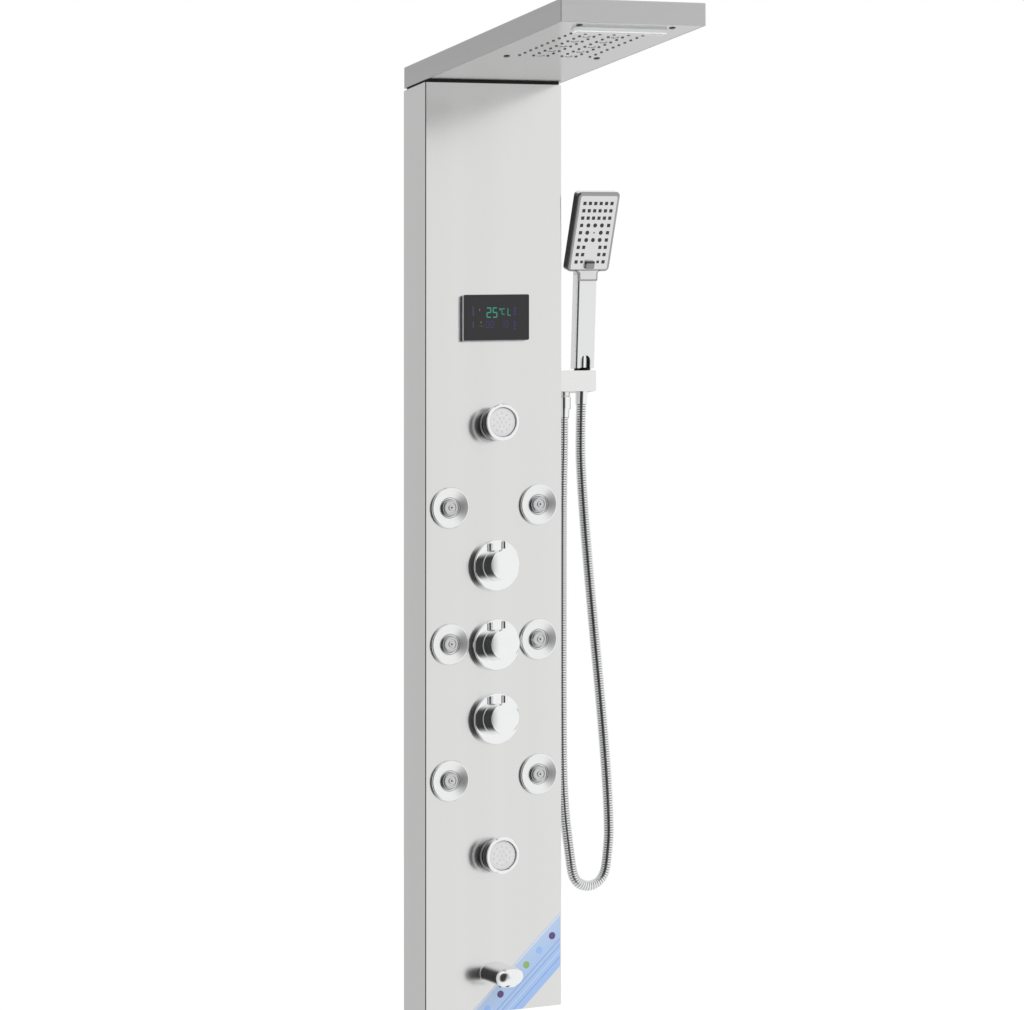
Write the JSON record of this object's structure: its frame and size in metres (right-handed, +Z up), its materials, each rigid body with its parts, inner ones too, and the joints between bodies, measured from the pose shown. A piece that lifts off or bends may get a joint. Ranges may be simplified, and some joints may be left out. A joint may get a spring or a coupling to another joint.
{
  "type": "shower panel column",
  "caption": "Wall-mounted steel shower column with flat rain head, valves, body jets, swivel sprays, display, tub spout and a hand shower on a metal hose.",
  "frame": {"origin": "on the wall plane, in the middle of the column's width and at its lower edge", "axes": "+X to the right as seen by the user facing the column, +Y into the wall, +Z up; the column's front faces -Y"},
  "size_m": [0.2943, 0.45, 1.25],
  "materials": {
    "brushed_steel": "brushed",
    "bracket_steel": "satin",
    "chrome": "polished",
    "chrome_plastic": "chrome-plated",
    "hose_metal": "polished, ribbed",
    "satin_plastic": "satin chrome-plated",
    "dark_rubber": "matte",
    "black_plastic": "matte",
    "black_gloss": "gloss",
    "dark_glass": "gloss",
    "clear_lens": "clear",
    "grey_plastic": "matte",
    "white_plastic": "gloss",
    "brass": "machined",
    "tube_plastic": "matte"
  },
  "bodies": {
    "panel": {"column_casing": "brushed_steel", "head_cover": "brushed_steel", "head_gasket": "dark_rubber", "head_face_plate": "brushed_steel", "rain_nozzles": "dark_rubber", "rain_chamber": "grey_plastic", "light_lenses": "clear_lens", "face_plate_screws": "chrome", "waterfall_lip": "white_plastic", "waterfall_chamber": "grey_plastic", "display_bezel": "black_gloss", "display_window": "dark_glass", "display_module": "black_plastic", "valve_manifold": "brass", "valve_flanges": "chrome", "valve_locknuts": "brass", "jet_dishes": "chrome", "spray_bases": "chrome", "panel_locknuts": "brass", "pipe_locknuts": "brass", "tub_spout": "chrome", "spout_aerator": "chrome", "holder_block": "brushed_steel", "hose_nut": "chrome", "jet_supply_tubes": "tube_plastic", "upper_spray_tube": "tube_plastic", "lower_supply_tube": "tube_plastic", "rain_riser": "tube_plastic", "waterfall_riser": "tube_plastic", "hand_shower_tube": "tube_plastic", "turbine_generator": "grey_plastic", "wall_bracket_upper": "bracket_steel", "wall_bracket_lower": "bracket_steel", "shower_hose": "hose_metal"},
    "hot_valve": {"hot_knob": "chrome", "hot_pin": "chrome", "hot_spindle": "brass"},
    "diverter": {"diverter_knob": "chrome", "diverter_pin": "chrome", "diverter_spindle": "brass"},
    "cold_valve": {"cold_knob": "chrome", "cold_pin": "chrome", "cold_spindle": "brass"},
    "jet_1": {"jet_nozzle_1": "chrome_plastic"},
    "jet_2": {"jet_nozzle_2": "chrome_plastic"},
    "jet_3": {"jet_nozzle_3": "chrome_plastic"},
    "jet_4": {"jet_nozzle_4": "chrome_plastic"},
    "jet_5": {"jet_nozzle_5": "chrome_plastic"},
    "jet_6": {"jet_nozzle_6": "chrome_plastic"},
    "upper_seat": {"upper_spray_seat": "chrome"},
    "upper_spray": {"upper_spray_head": "chrome", "upper_spray_face": "chrome_plastic"},
    "lower_seat": {"lower_spray_seat": "chrome"},
    "lower_spray": {"lower_spray_head": "chrome", "lower_spray_face": "chrome_plastic"},
    "hose_end": {"hose_cone": "chrome"},
    "handset": {"handset_shell": "satin_plastic", "handset_face_plate": "satin_plastic", "handset_nozzles": "dark_rubber"},
    "selector": {"handset_selector": "black_plastic"}
  },
  "joints": [
    {"name": "hot_turn", "type": "hinge", "parent": "panel", "child": "hot_valve", "pos_m": [0, -0.08, 0.586], "axis": [0, -1, 0], "range_deg": [0, 90]},
    {"name": "diverter_turn", "type": "hinge", "parent": "panel", "child": "diverter", "pos_m": [0, -0.08, 0.482], "axis": [0, -1, 0], "continuous": true},
    {"name": "cold_turn", "type": "hinge", "parent": "panel", "child": "cold_valve", "pos_m": [0, -0.08, 0.385], "axis": [0, -1, 0], "range_deg": [0, 90]},
    {"name": "jet_1_tilt", "type": "hinge", "parent": "panel", "child": "jet_1", "pos_m": [-0.0645, -0.065, 0.664], "axis": [1, 0, 0], "range_deg": [-12, 12]},
    {"name": "jet_2_tilt", "type": "hinge", "parent": "panel", "child": "jet_2", "pos_m": [0.0645, -0.065, 0.664], "axis": [1, 0, 0], "range_deg": [-12, 12]},
    {"name": "jet_3_tilt", "type": "hinge", "parent": "panel", "child": "jet_3", "pos_m": [-0.0645, -0.065, 0.486], "axis": [1, 0, 0], "range_deg": [-12, 12]},
    {"name": "jet_4_tilt", "type": "hinge", "parent": "panel", "child": "jet_4", "pos_m": [0.0645, -0.065, 0.486], "axis": [1, 0, 0], "range_deg": [-12, 12]},
    {"name": "jet_5_tilt", "type": "hinge", "parent": "panel", "child": "jet_5", "pos_m": [-0.0645, -0.065, 0.308], "axis": [1, 0, 0], "range_deg": [-12, 12]},
    {"name": "jet_6_tilt", "type": "hinge", "parent": "panel", "child": "jet_6", "pos_m": [0.0645, -0.065, 0.308], "axis": [1, 0, 0], "range_deg": [-12, 12]},
    {"name": "upper_spray_tilt", "type": "hinge", "parent": "panel", "child": "upper_seat", "pos_m": [0, -0.064, 0.772], "axis": [1, 0, 0], "range_deg": [-12, 12]},
    {"name": "upper_spray_pan", "type": "hinge", "parent": "upper_seat", "child": "upper_spray", "pos_m": [0, -0.064, 0.772], "axis": [0, 0, 1], "range_deg": [-12, 12]},
    {"name": "lower_spray_tilt", "type": "hinge", "parent": "panel", "child": "lower_seat", "pos_m": [0, -0.064, 0.206], "axis": [1, 0, 0], "range_deg": [-12, 12]},
    {"name": "lower_spray_pan", "type": "hinge", "parent": "lower_seat", "child": "lower_spray", "pos_m": [0, -0.064, 0.206], "axis": [0, 0, 1], "range_deg": [-12, 12]},
    {"name": "hand_shower_lift", "type": "slide", "parent": "panel", "child": "hose_end", "axis": [0, -0.061, 0.9981], "range_m": [0, 0.08]},
    {"name": "handset_swivel", "type": "hinge", "parent": "hose_end", "child": "handset", "pos_m": [0.1465, -0.034, 0.842], "axis": [0, -0.061, 0.9981], "range_deg": [-60, 60]},
    {"name": "selector_swing", "type": "hinge", "parent": "handset", "child": "selector", "pos_m": [0.1465, -0.06797, 1.02266], "axis": [0, -0.9455, -0.3256], "range_deg": [-6, 6]}
  ]
}
